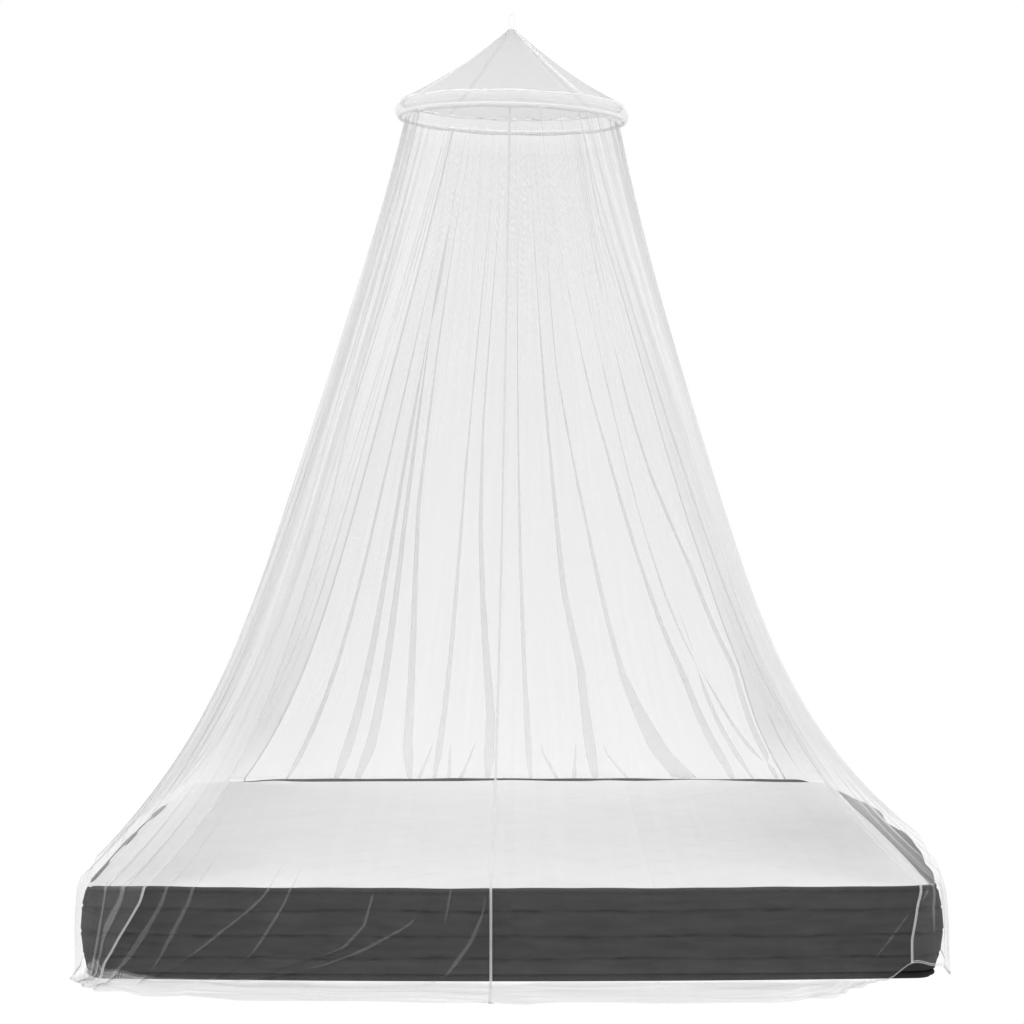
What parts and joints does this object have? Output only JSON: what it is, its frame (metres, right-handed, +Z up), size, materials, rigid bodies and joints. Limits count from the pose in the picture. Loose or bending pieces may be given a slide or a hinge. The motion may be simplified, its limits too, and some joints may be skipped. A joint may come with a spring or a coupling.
{
  "type": "mosquito net canopy with hoop and mattress",
  "caption": "Bell-shaped sheer net hung by a loop, spread by a round hoop under a low cone, and draped over a low mattress down to the floor.",
  "frame": {"origin": "on the floor, under the middle of the mattress", "axes": "+Z up, -Y towards the foot end, where the net opens, +X to the right seen from the foot end"},
  "size_m": [2.1354, 2.5376, 2.1916],
  "materials": {
    "net": "sheer warp-knitted net, matt",
    "tape": "woven white tape",
    "hoop": "smooth tube",
    "border": "quilted charcoal weave",
    "piping": "covered cord",
    "top": "pale knit"
  },
  "bodies": {
    "root": {"hanging_loop": "tape", "crown_net": "net", "crown_tape_1": "tape", "crown_tape_2": "tape", "crown_tape_3": "tape", "crown_tape_4": "tape", "hoop": "hoop", "hoop_casing": "tape", "skirt_front_right": "net", "skirt_right": "net", "skirt_back": "net", "skirt_left": "net", "skirt_front_left": "net", "mattress_body": "border", "mattress_top_panel": "top", "mattress_piping_top": "piping", "mattress_piping_bottom": "piping"}
  },
  "joints": []
}
